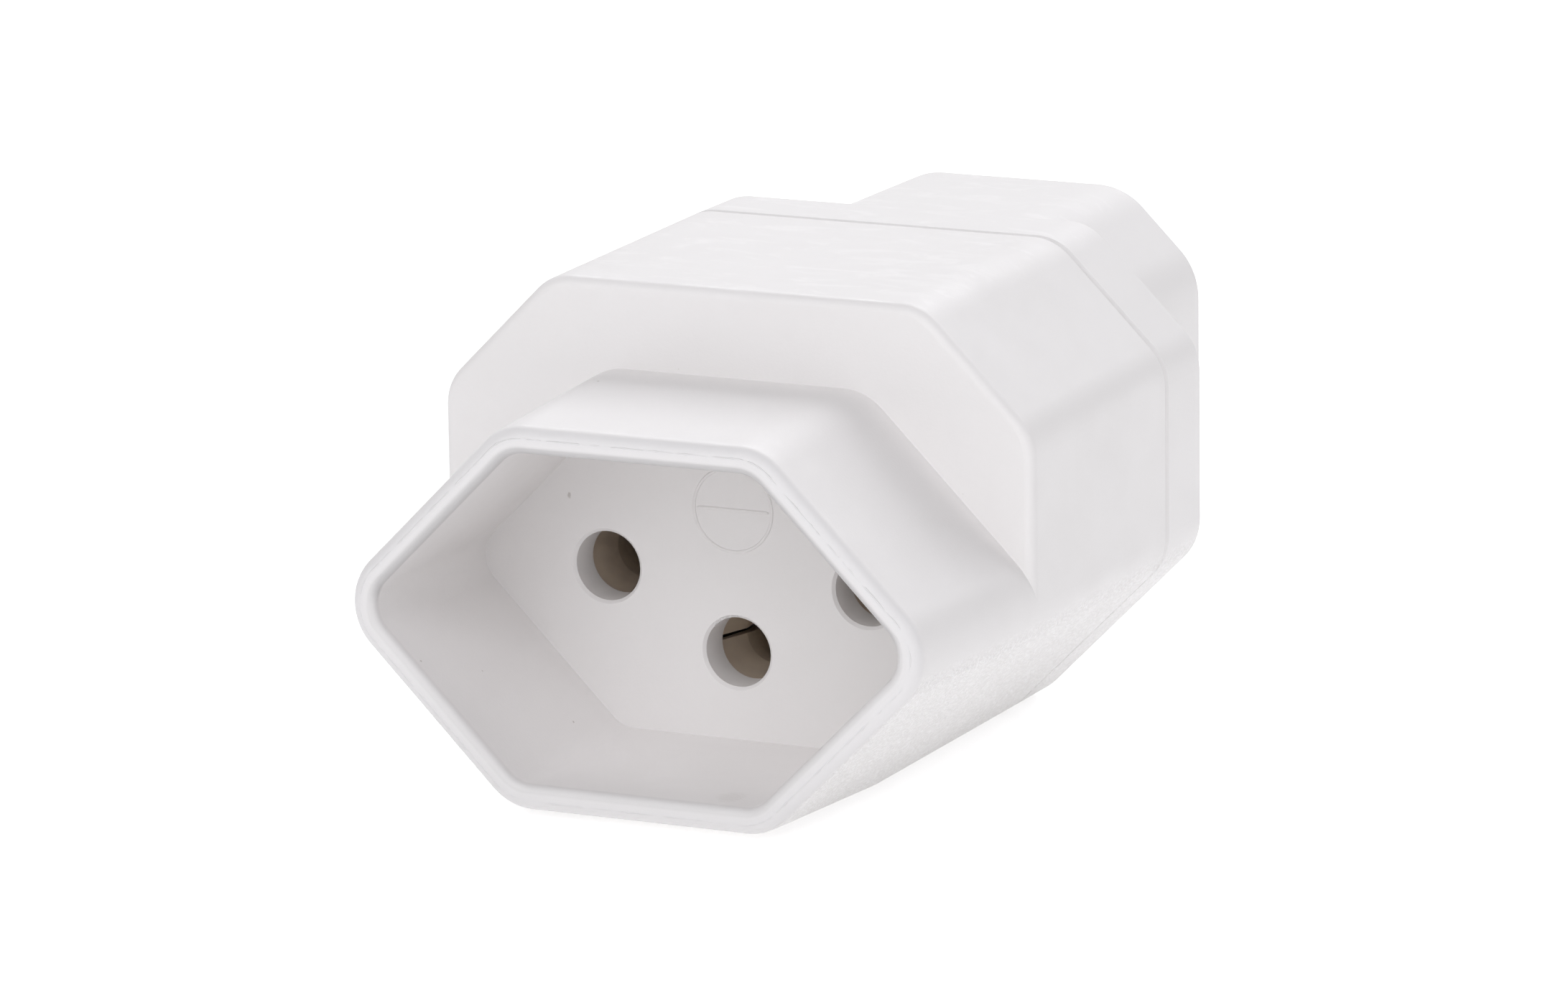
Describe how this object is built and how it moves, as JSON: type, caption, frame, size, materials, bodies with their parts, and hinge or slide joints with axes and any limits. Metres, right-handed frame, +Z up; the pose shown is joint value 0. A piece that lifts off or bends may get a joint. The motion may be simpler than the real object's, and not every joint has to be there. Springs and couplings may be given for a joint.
{
  "type": "plug adapter",
  "caption": "Straight plug adapter: a recessed six-sided socket for round pins at the front, a flat-pin inlet in a shroud at the rear.",
  "frame": {"origin": "middle of the underside, at the centre of the whole length and width", "axes": "+X to the right seen from the socket, +Y from the socket to the inlet, +Z up"},
  "size_m": [0.0428, 0.062, 0.0333],
  "materials": {
    "white_moulding": "fine satin texture",
    "inner_moulding": "as moulded",
    "brass": "stamped, slightly dull",
    "spring_steel": "blank spring steel",
    "plated_pin": "nickel plate"
  },
  "bodies": {
    "root": {"front_housing": "white_moulding", "rear_housing": "white_moulding", "contact_carrier": "inner_moulding", "pin_retainer": "inner_moulding", "contact_rivets": "brass", "line_contact": "brass", "line_contact_clip": "spring_steel", "line_strip": "brass", "line_pin": "plated_pin", "neutral_contact": "brass", "neutral_contact_clip": "spring_steel", "neutral_strip": "brass", "neutral_pin": "plated_pin", "earth_contact": "brass", "earth_contact_clip": "spring_steel", "earth_strip": "brass", "earth_pin": "plated_pin"}
  },
  "joints": []
}
